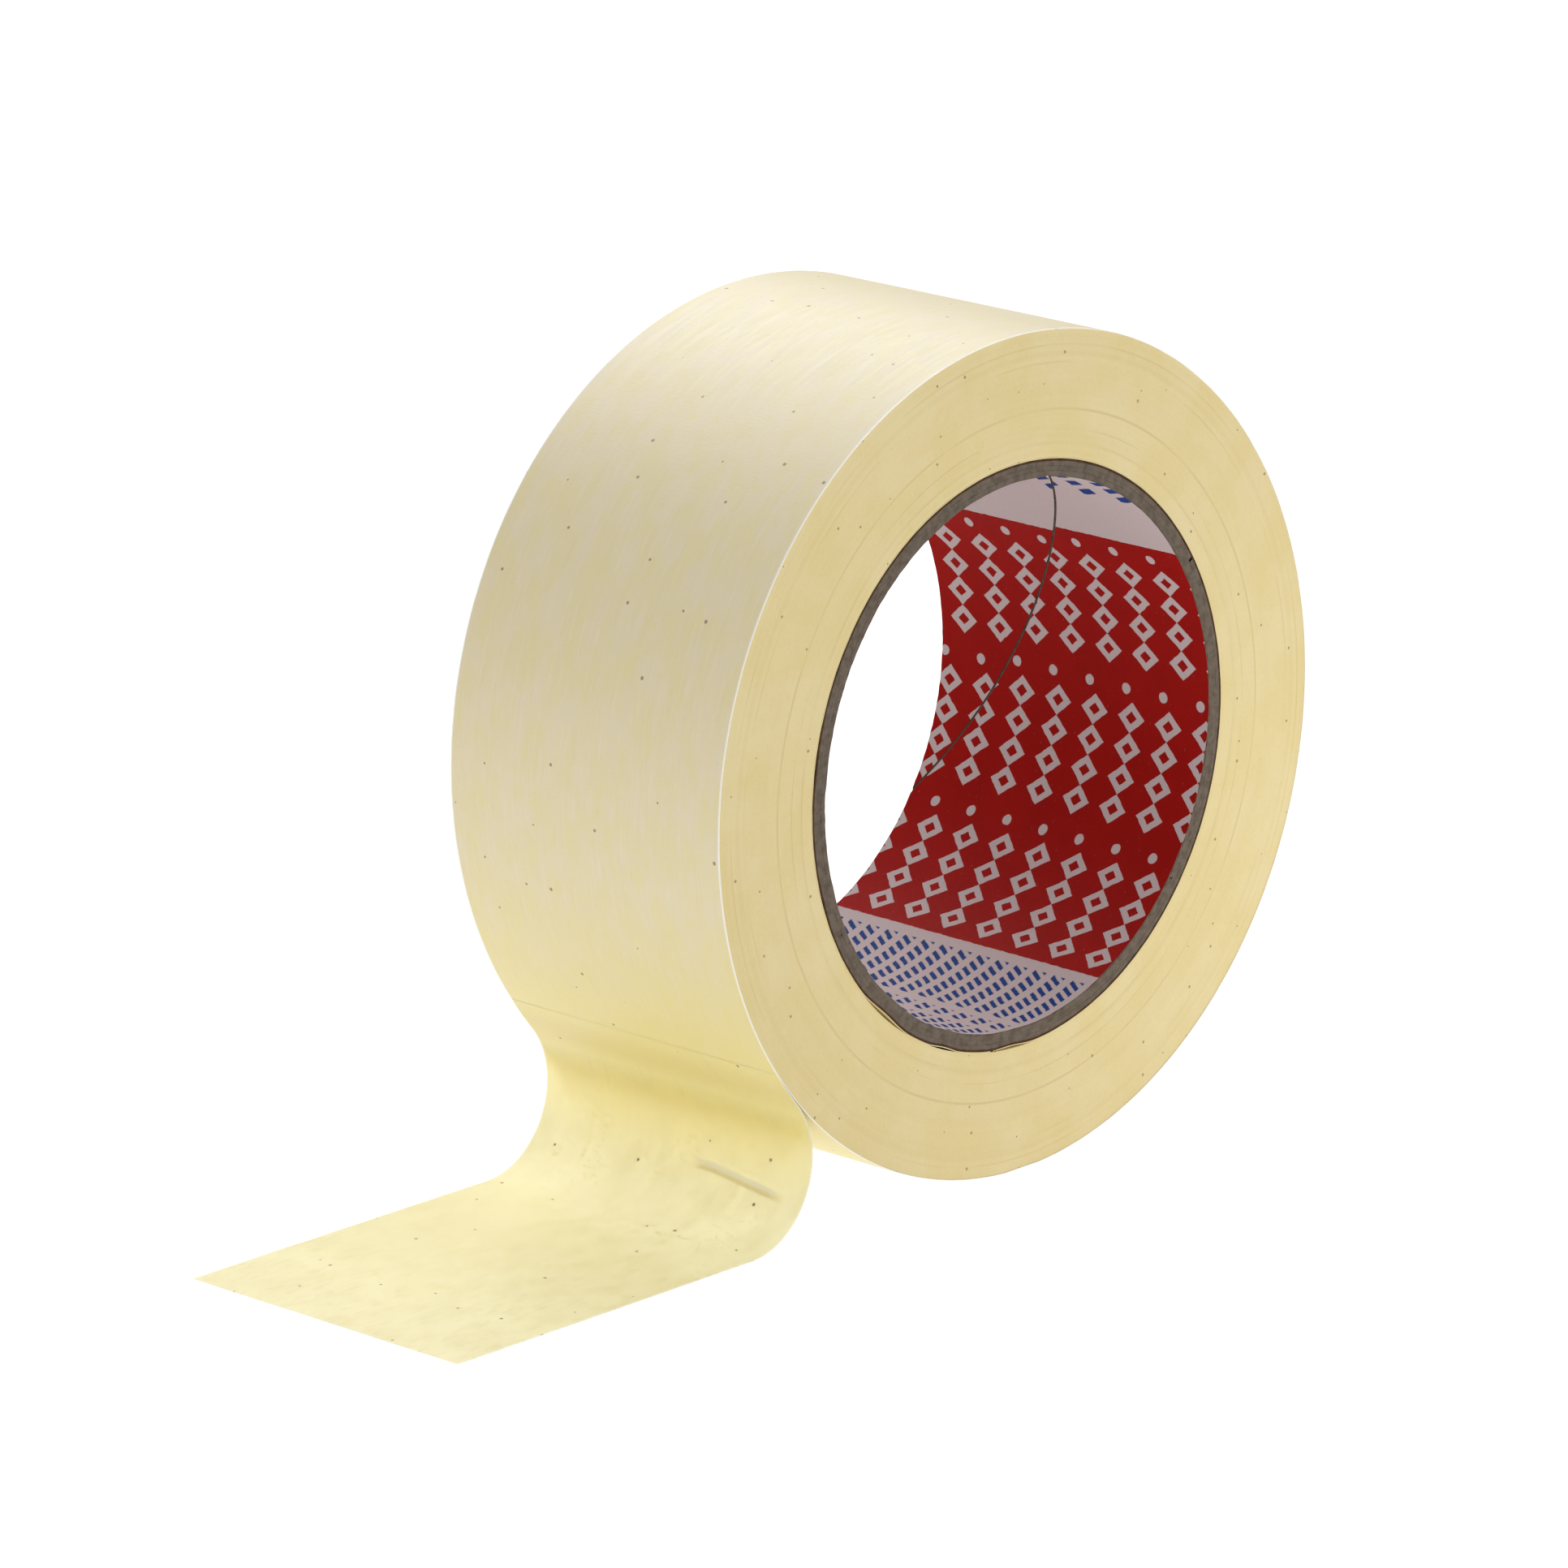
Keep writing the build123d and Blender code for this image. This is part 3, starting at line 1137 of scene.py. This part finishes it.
@dataclass
class Winding:
    """The tape on the core: its first turn, the turns over that, and its last whole turn."""

    roll_radius: float
    core_radius: float
    half_width: float
    floor: float
    peel_angle: float
    tape_thickness: float = 0.125 * MM
    core_gap: float = 0.02 * MM
    clearance: float = 0.01 * MM
    first_turn_start: float = 262.0
    first_turn_gap: float = 0.6 * MM
    first_turn_steps: Steps = (480, 12)
    first_turn_fray: Lumps = Lumps(0.05 * MM, 2.0 * MM, 3.0)
    face_inset: float = 0.08 * MM
    face_rings: int = 72
    face_grooves: tuple[Lumps, ...] = (Lumps(0.03 * MM, 0.8 * MM), Lumps(0.03 * MM, 2.6 * MM, 4.0))
    face_ripple: Lumps = Lumps(0.05 * MM, 14.0 * MM, 2.0)
    spin_steps: int = 180
    last_turn_steps: Steps = (720, 26)
    last_turn_cockles: tuple[Lumps, ...] = (Lumps(0.016 * MM, 3.1 * MM), Lumps(0.03 * MM, 17.0 * MM, 9.0))
    edge: WoundEdge = WoundEdge()

    @property
    def first_turn_radius(self) -> float:
        """The outside radius of the first turn."""
        return self.core_radius + self.core_gap + self.tape_thickness

    def first_turn(self, edge: bpy.types.Material) -> None:
        """Make the first turn, which the dents in the core pull away from the winding.

        Args:
            edge: its finish.
        """
        radius = self.first_turn_radius
        gap = math.degrees(self.first_turn_gap / radius)
        piece = cut_strip("first_turn_strip", 0.0, 1.0, 2 * self.half_width, self.first_turn_steps)

        def wrap(flat: np.ndarray) -> np.ndarray:
            """Wind the strip on the core."""
            angles = self.first_turn_start - gap - flat[:, 0] * (FULL_TURN - gap)
            dent = sum(d.at(angles, flat[:, 1] + self.half_width) for d in DENTS if d.pulls_tape)
            inset = self.first_turn_fray.height - self.first_turn_fray.at(polar(angles, radius, flat[:, 1]))
            return polar(angles, radius - dent, pull_in(flat, self.half_width, inset))

        lay_pattern(piece, lambda flat: flat[:, :2] * np.array([2 * math.pi * radius, 1.0]))
        reshape(piece, wrap)
        dress(piece, Slot.WOUND_EDGE, edge)
        thicken(piece, self.tape_thickness)
        fit_to_roll(piece, "first_turn")

    def face_profile(self, inner: float, outer: float) -> np.ndarray:
        """Draw a cut through one side of the winding: both faces, with the grooves between turns.

        Args:
            inner: the winding's inner radius.
            outer: its outer radius.

        Returns:
            Rows of radius, y and z, from the inner edge of the front face round to that of the back.
        """
        radii = np.linspace(inner, outer, self.face_rings)
        relief = sum(groove.at(radii[:, None]) for groove in self.face_grooves)
        relief[[0, -1]] = 0.0
        front = np.column_stack([radii, relief + self.face_inset - self.half_width, np.zeros(len(radii))])
        return np.concatenate([front, (front * np.array([1.0, -1.0, 1.0]))[::-1]])

    def wound_tape(self, edge: bpy.types.Material) -> None:
        """Make the turns between the first and the last: one profile, spun round the bore.

        Args:
            edge: its finish.
        """
        inner = self.first_turn_radius + self.clearance
        outer = self.roll_radius - self.tape_thickness - self.clearance
        profile = self.face_profile(inner, outer)
        select()
        bpy.ops.mesh.primitive_circle_add(vertices=len(profile), radius=1.0, fill_type="NOTHING")
        piece = new_piece("wound_tape_turns")
        reshape(piece, lambda flat: profile)
        edit(piece)
        turn = math.radians(FULL_TURN)
        bpy.ops.mesh.spin(steps=self.spin_steps, angle=turn, center=(0.0, 0.0, 0.0), axis=(0.0, 1.0, 0.0))
        bpy.ops.object.mode_set(mode="OBJECT")
        weld(piece)

        def settle(made: np.ndarray) -> np.ndarray:
            """Let the turns drift off centre, ripple a little and flatten where the roll stands."""
            radius = np.hypot(made[:, 0], made[:, 2])
            angles = np.degrees(np.arctan2(made[:, 2], made[:, 0]))
            on_face = np.sin(rise(radius, inner, outer) * math.pi)
            lean = on_face * np.cos(np.radians(angles - DRIFT_ANGLE))
            ripple = on_face * self.face_ripple.at(made)
            placed = polar(angles, radius + DRIFT * lean, made[:, 1] - ripple * np.sign(made[:, 1]))
            placed[:, 2] = np.maximum(placed[:, 2], self.floor + self.tape_thickness + self.clearance)
            return placed

        reshape(piece, settle)
        dress(piece, Slot.WOUND_EDGE, edge)
        fit_to_roll(piece, "wound_tape", crisp=50.0)

    def last_turn(self, paper: bpy.types.Material) -> None:
        """Make the last whole turn, a closed band whose paper runs on into the loose end.

        Args:
            paper: its finish.
        """
        around = 2 * math.pi * self.roll_radius
        piece = cut_strip("last_turn_band", 0.0, around, 2 * self.half_width, self.last_turn_steps)

        def wrap(flat: np.ndarray) -> np.ndarray:
            """Wind the strip on the roll, starting from the peel line."""
            angles = self.peel_angle - np.degrees(flat[:, 0] / self.roll_radius)
            on_roll = polar(angles, self.roll_radius, flat[:, 1])
            radii = self.roll_radius - np.abs(sum(cockle.at(on_roll) for cockle in self.last_turn_cockles))
            placed = polar(angles, radii, pull_in(flat, self.half_width, np.abs(EDGE_WAVER.at(on_roll))))
            placed[:, 2] = np.maximum(placed[:, 2], self.floor)
            return placed

        lay_pattern(piece, lambda flat: flat[:, :2])
        reshape(piece, wrap)
        weld(piece)
        dress(piece, Slot.CREPE_PAPER, paper)
        thicken(piece, self.tape_thickness)
        fit_to_roll(piece, "last_turn")

    def build(self, paper: bpy.types.Material) -> None:
        """Make and dress the three lengths.

        Args:
            paper: the finish that the last turn shares with the loose end.
        """
        edge = self.edge.material()
        self.first_turn(edge)
        self.wound_tape(edge)
        self.last_turn(paper)


# ---- The loose end ----


@dataclass(frozen=True)
class Layer:
    """One layer of the loose end: how high its lower face is, its thickness and its finish."""

    name: str
    base: float
    thickness: float
    slot: Slot
    face: bpy.types.Material
    rim: bpy.types.Material


@dataclass(frozen=True)
class Length:
    """One length of the loose end: its ends in the flat form, and the hinge that it bends over."""

    name: str
    start: float
    end: float
    steps: Steps
    near: Body
    far: Body
    hinge_x: float
    nodes: tuple[str, ...]
    rests_on: str


@dataclass
class LooseEnd:
    """The loose end: it peels off the roll, folds back and lies flat with its sticky side down.

    Its flat form has x 0 at the peel line: positive x still lies on the roll, and negative x is off it.
    """

    roll_radius: float
    half_width: float
    floor: float
    fold_centre: tuple[float, float]
    fold_radius: float
    cut_end: float
    split: float
    lift_line: float
    curl_line: float
    lap_length: float = 6.0 * MM
    lap_taper: float = 0.08
    lap_clearance: float = 0.02 * MM
    adhesive_thickness: float = 0.04 * MM
    paper_thickness: float = 0.085 * MM
    bend_reach: float = 2.5 * MM
    cockles: tuple[Lumps, ...] = (Lumps(0.02 * MM, 3.1 * MM), Lumps(0.03 * MM, 9.0 * MM, 4.0))
    cockle_reach: float = 4.0 * MM
    ripples: Lumps = Lumps(0.035 * MM, 1.5 * MM, 7.0)
    ripple_stretch: Span = (0.22, 1.0)
    ripple_reach: float = 8.0 * MM
    crease_angle: float = -25.6
    crease_slope: float = 0.5 / MM
    crease_turn: float = -7.5 * MM
    crease_front: Span = (-22.0 * MM, -18.5 * MM)
    crease_back: Span = (-3.5 * MM, -6.5 * MM)
    crease_width: float = 0.5 * MM
    crease_height: float = 0.2 * MM
    press: float = 0.3  # how far a layer may sink, as a share of its height above the sticky side
    adhesive: AdhesiveFilm = AdhesiveFilm()

    @property
    def peel_angle(self) -> float:
        """The angle of the line where the tape leaves the roll."""
        return math.degrees(math.atan2(self.fold_centre[1], self.fold_centre[0])) % FULL_TURN

    @property
    def fold_length(self) -> float:
        """The length of tape in the fold, measured on its sticky side."""
        return self.fold_radius * math.radians(self.peel_angle - HALF_TURN + 90.0)

    def flat_x(self, x: float) -> float:
        """Give where a line across the lying length is in the flat form."""
        return -(self.fold_length + self.fold_centre[0] - x)

    def bend(self, flat: np.ndarray) -> np.ndarray:
        """Bend the flat form into its place.

        Args:
            flat: rows of distance from the peel line, y, and height above the sticky side.

        Returns:
            The same places on the roll, in the fold and on the table.
        """
        x, y, height = flat.T
        lap_radius = self.roll_radius + self.lap_clearance
        taper = 1 - (1 - self.lap_taper) * rise(x, 0.0, self.lap_length)
        lap_angle = self.peel_angle - np.degrees(x / lap_radius)
        on_roll = polar(lap_angle, self.roll_radius + (self.lap_clearance + height) * taper, y)
        fold_angle = self.peel_angle - HALF_TURN + np.degrees(x / self.fold_radius)
        in_fold = polar(fold_angle, self.fold_radius - height, y)
        in_fold += np.array([self.fold_centre[0], 0.0, self.fold_centre[1]])
        lying = np.column_stack([self.fold_centre[0] + x + self.fold_length, y, self.floor + height])
        placed = np.where((x > 0)[:, None], on_roll, in_fold)
        return np.where((x < -self.fold_length)[:, None], lying, placed)

    def relief(self, flat: np.ndarray) -> np.ndarray:
        """Shape the paper's face: cockles, ripples along its length and a crease.

        Args:
            flat: places in the flat form.

        Returns:
            How far the paper stands off its smooth place at each.
        """
        x, y, _ = flat.T
        pattern = flat[:, :2]
        cockles = sum(cockle.at(pattern) for cockle in self.cockles)
        lying = rise(-x, self.fold_length, self.fold_length + self.ripple_reach)
        ripples = self.ripples.at(pattern * np.array(self.ripple_stretch)) * lying
        crease_at = self.crease_angle - self.crease_slope * np.maximum(self.crease_turn - y, 0.0)
        on_fold = np.radians(self.peel_angle - HALF_TURN - crease_at) * self.fold_radius
        creased = rise(y, *self.crease_back) * rise(y, *self.crease_front)
        crease = self.crease_height * np.exp(-(((-x - on_fold) / self.crease_width) ** 2)) * creased
        return rise(-x, 0.0, self.cockle_reach) * (cockles + ripples) + crease

    def strip(self, length: Length, layer: Layer) -> bpy.types.Object:
        """Make one layer of one length.

        Args:
            length: where it runs.
            layer: how high it lies and how it is finished.

        Returns:
            The layer, bent into place.
        """
        name = f"loose_{length.name}_{layer.name}"
        piece = cut_strip(name, length.start, length.end, 2 * self.half_width, length.steps)
        lay_pattern(piece, lambda flat: flat[:, :2])
        dress(piece, layer.slot, layer.face, layer.rim)
        thicken(piece, layer.thickness, rim_material=1)

        def settle(flat: np.ndarray) -> np.ndarray:
            """Lift the layer to its height, ripple it and bend it."""
            y = pull_in(flat, self.half_width, np.abs(EDGE_WAVER.at(flat[:, :2])))
            relief = np.maximum(self.relief(flat), -self.press * layer.base)
            height = flat[:, 2] + layer.base + layer.thickness + relief
            return self.bend(np.column_stack([flat[:, 0], y, height]))

        reshape(piece, settle)
        return piece

    def lay(self, length: Length, layers: tuple[Layer, Layer]) -> None:
        """Make one length.

        Args:
            length: where it runs.
            layers: its paper, then its adhesive.
        """
        pieces = [self.strip(length, layer) for layer in layers]
        bend_start = (length.hinge_x + self.bend_reach, 0.0, self.floor)
        bend_end = (length.hinge_x - self.bend_reach, 0.0, self.floor)
        for piece, layer in zip(pieces, layers):
            smooth(piece)
            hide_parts(*(f"{node}_{layer.name}" for node in length.nodes))
            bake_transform(piece)
            report(piece)
        flat = (2 * self.half_width, length.end - length.start)

    def build(self, paper: bpy.types.Material) -> None:
        """Make and dress the two lengths, each a paper on its adhesive.

        Args:
            paper: the finish that the loose end shares with the last turn.
        """
        film, base = self.adhesive.material(), self.adhesive_thickness
        layers = (
            Layer("paper", base, self.paper_thickness, Slot.CREPE_PAPER, paper, film),
            Layer("adhesive", 0.0, base, Slot.ADHESIVE, film, film),
        )
        split, cut = self.flat_x(self.split), self.flat_x(self.cut_end)
        fold_nodes, end_nodes = ("tail_fold", "tail_flat"), ("tail_tip",)
        lengths = (
            Length(
                "fold", split, self.lap_length, (150, 64), Body.FOLD, Body.FLAT,
                self.lift_line, fold_nodes, "last_turn_band",
            ),
            Length(
                "end", cut, split, (110, 64), Body.FLAT, Body.TIP,
                self.curl_line, end_nodes, "loose_fold_paper",
            ),
        )
        for length in lengths:
            self.lay(length, layers)


# ---- The studio ----


@dataclass(frozen=True)
class Lamp:
    """A soft rectangular light, aimed at a point."""

    name: str
    place: tuple[float, float, float]
    aim: tuple[float, float, float]
    size: tuple[float, float]
    power: float


@dataclass
class Studio:
    """A plain pale floor, soft light and the camera."""

    floor: float
    floor_size: float = 30.0
    floor_clearance: float = 0.05 * MM
    sky: float = 0.56
    aim: tuple[float, float, float] = (-20.08 * MM, 0.0, -4.35 * MM)
    azimuth: float = -46.058
    elevation: float = 16.287
    roll: float = -0.59
    distance: float = 1.3341
    lens: float = 226.98
    sensor: float = 36.0
    lamps: tuple[Lamp, ...] = (
        Lamp("back_softbox", (0.45, 0.93, 0.81), (0.0, 0.0, 0.0), (1.15, 0.66), 9.7),
        Lamp("front_fill", (0.085, -0.12, -0.03), (0.01, -0.025, -0.045), (0.045, 0.045), 0.02),
    )
    finish: PaleFloor = PaleFloor()

    def light(self) -> None:
        """Set the even light of the room and hang the lamps."""
        world = bpy.data.worlds.new("studio")
        bpy.context.scene.world = world
        world.use_nodes = True
        backdrop = world.node_tree.nodes["Background"]
        backdrop.inputs["Color"].default_value = (1.0, 1.0, 1.0, 1.0)
        backdrop.inputs["Strength"].default_value = self.sky
        for lamp in self.lamps:
            select()
            bpy.ops.object.light_add(type="AREA", location=lamp.place)
            light = bpy.context.object
            light.name = lamp.name
            towards = Vector(lamp.aim) - Vector(lamp.place)
            light.rotation_euler = towards.to_track_quat("-Z", "Y").to_euler()
            light.data.shape = "RECTANGLE"
            light.data.size, light.data.size_y = lamp.size
            light.data.energy = lamp.power
            light.visible_camera = False

    def lay_floor(self) -> None:
        """Lay the floor just under the roll."""
        select()
        height = self.floor - self.floor_clearance
        bpy.ops.mesh.primitive_plane_add(size=self.floor_size, location=(0.0, 0.0, height))
        floor = new_piece("studio_floor")
        floor.data.materials.append(self.finish.material())

    def set_camera(self) -> None:
        """Set up the camera at its angle and distance from the point that it looks at."""
        turn, rise = math.radians(self.azimuth), math.radians(self.elevation)
        level = math.cos(rise)
        back = Vector((math.sin(turn) * level, -math.cos(turn) * level, math.sin(rise)))
        data = bpy.data.cameras.new("camera")
        data.lens = self.lens
        data.sensor_width = self.sensor
        data.clip_end = 2 * self.floor_size
        camera = bpy.data.objects.new("camera", data)
        bpy.context.scene.collection.objects.link(camera)
        camera.location = Vector(self.aim) + back * self.distance
        camera.rotation_mode = "QUATERNION"
        level_view = (-back).to_track_quat("-Z", "Y")
        camera.rotation_quaternion = level_view @ Quaternion((0.0, 0.0, 1.0), math.radians(self.roll))
        bpy.context.scene.camera = camera

    def build(self) -> None:
        """Set up the whole studio."""
        bpy.context.scene.view_settings.view_transform = "Standard"
        self.light()
        self.lay_floor()
        self.set_camera()


def joint_x(name: str) -> float:
    """Give the x of a joint's axis."""
    return next(joint["pos_m"][0] for joint in frame["joints"] if joint["name"] == name)


def main() -> None:
    """Build the studio and the roll, from the core outwards."""
    logging.basicConfig(level=logging.INFO, format="%(name)s: %(message)s")
    low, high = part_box("last_turn")
    fold_low, fold_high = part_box("tail_fold_adhesive")
    fold_radius = fold_high.x - fold_low.x
    floor = CAD_BOX[0].z
    Studio(floor=floor).build()
    Core(half_width=high.y).build()
    loose_end = LooseEnd(
        roll_radius=high.x,
        half_width=high.y,
        floor=floor,
        fold_centre=(fold_low.x, floor + fold_radius),
        fold_radius=fold_radius,
        cut_end=CAD_BOX[0].x,
        split=(fold_low.x + joint_x("tail_curl")) / 2,
        lift_line=joint_x("tail_lift"),
        curl_line=joint_x("tail_curl"),
    )
    winding = Winding(
        roll_radius=high.x,
        core_radius=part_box("core_wrap")[1].x,
        half_width=high.y,
        floor=low.z,
        peel_angle=loose_end.peel_angle,
    )
    paper = CrepePaper().material()
    winding.build(paper)
    loose_end.build(paper)


if __name__ == "__main__":
    main()
